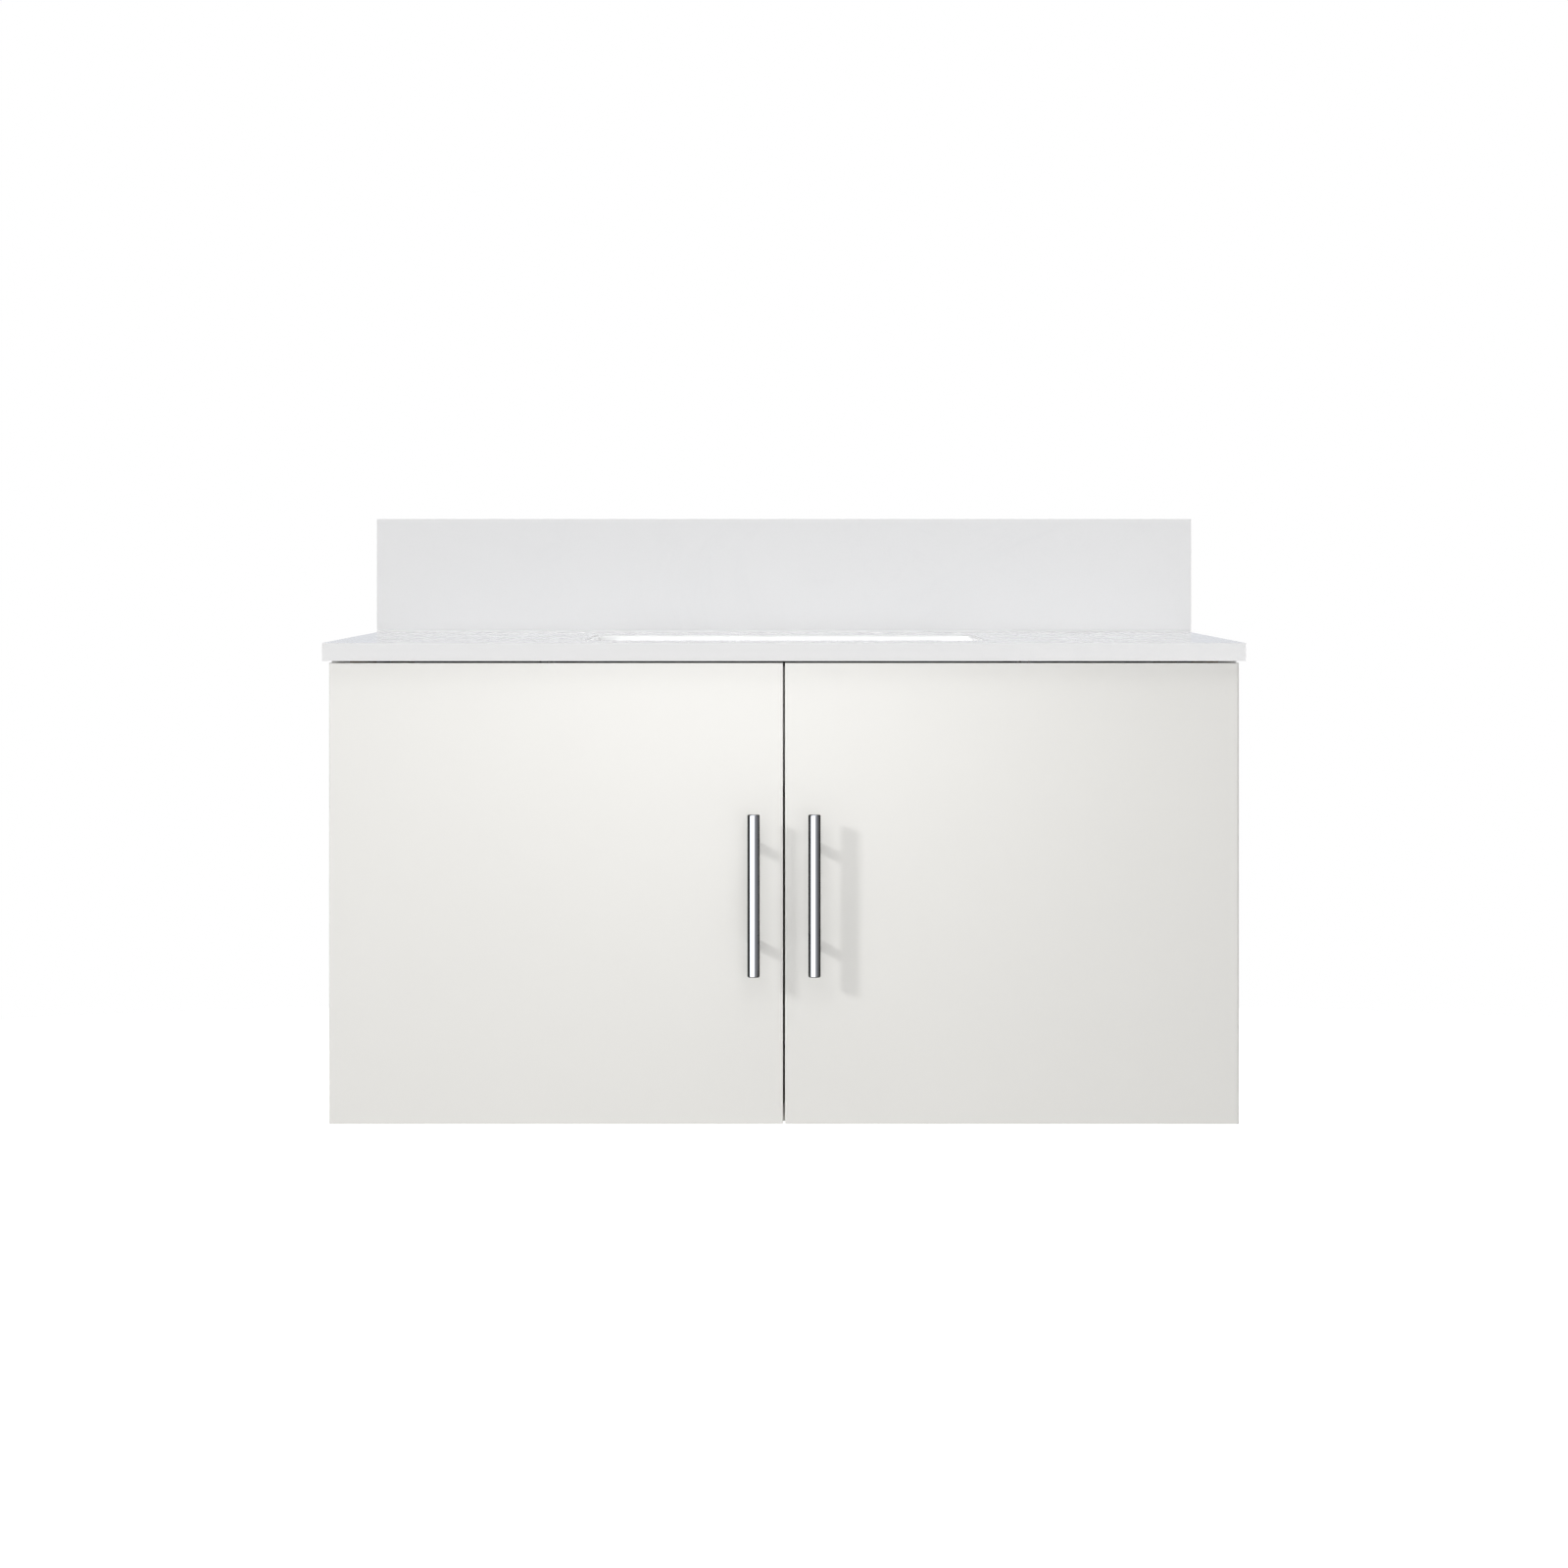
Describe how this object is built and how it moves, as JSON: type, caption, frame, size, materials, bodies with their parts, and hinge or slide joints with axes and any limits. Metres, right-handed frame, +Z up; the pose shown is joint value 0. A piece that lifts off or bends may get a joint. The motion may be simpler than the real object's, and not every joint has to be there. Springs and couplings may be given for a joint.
{
  "type": "bathroom vanity cabinet",
  "caption": "Wall-hung bathroom vanity: white cabinet with two hinged slab doors and bar handles, stone worktop with backsplash and an inset rectangular basin.",
  "frame": {"origin": "centre of the rectangle of four wall-screw holes, on the wall face", "axes": "+X along the worktop to the right seen from the front, +Y into the wall, +Z up"},
  "size_m": [0.9144, 0.588, 0.604],
  "materials": {
    "door_paint": "satin warm-white paint on board",
    "carcass_paint": "satin warm-white laminate on board",
    "marble": "polished pale stone with faint grey veins",
    "porcelain": "glossy white glaze",
    "handle_chrome": "polished",
    "zinc_steel": "nickel-plated satin",
    "beech": "bare beech",
    "sealant": "smooth white silicone",
    "bumper_rubber": "soft translucent rubber"
  },
  "bodies": {
    "cabinet": {"left_side_panel": "carcass_paint", "right_side_panel": "carcass_paint", "bottom_panel": "carcass_paint", "front_rail": "carcass_paint", "hanging_rail": "carcass_paint", "lower_back_rail": "carcass_paint", "back_panel": "carcass_paint", "corner_blocks": "beech", "corner_block_screws": "zinc_steel", "carcass_dowels": "beech", "worktop": "marble", "backsplash": "marble", "backsplash_sealant": "sealant", "basin": "porcelain", "basin_sealant": "sealant", "basin_clips": "zinc_steel", "basin_clip_studs": "zinc_steel", "basin_wing_nuts": "zinc_steel", "left_hinge_plates": "zinc_steel", "left_hinge_plate_screws": "zinc_steel", "left_hinge_arms": "zinc_steel", "left_hinge_links": "zinc_steel", "left_hinge_rivets": "zinc_steel", "left_hinge_adjusters": "zinc_steel", "right_hinge_plates": "zinc_steel", "right_hinge_plate_screws": "zinc_steel", "right_hinge_arms": "zinc_steel", "right_hinge_links": "zinc_steel", "right_hinge_rivets": "zinc_steel", "right_hinge_adjusters": "zinc_steel"},
    "left_door": {"left_door": "door_paint", "left_hinge_cups": "zinc_steel", "left_hinge_cup_screws": "zinc_steel", "left_hinge_pins": "zinc_steel", "left_handle_bar": "handle_chrome", "left_handle_posts": "handle_chrome", "left_handle_screws": "zinc_steel", "left_door_bumpers": "bumper_rubber"},
    "right_door": {"right_door": "door_paint", "right_hinge_cups": "zinc_steel", "right_hinge_cup_screws": "zinc_steel", "right_hinge_pins": "zinc_steel", "right_handle_bar": "handle_chrome", "right_handle_posts": "handle_chrome", "right_handle_screws": "zinc_steel", "right_door_bumpers": "bumper_rubber"}
  },
  "joints": [
    {"name": "left_door_swing", "type": "hinge", "parent": "cabinet", "child": "left_door", "pos_m": [-0.443, -0.5425, -0.0105], "axis": [0, 0, -1], "range_deg": [0, 105]},
    {"name": "right_door_swing", "type": "hinge", "parent": "cabinet", "child": "right_door", "pos_m": [0.443, -0.5425, -0.0105], "axis": [0, 0, 1], "range_deg": [0, 105]}
  ]
}
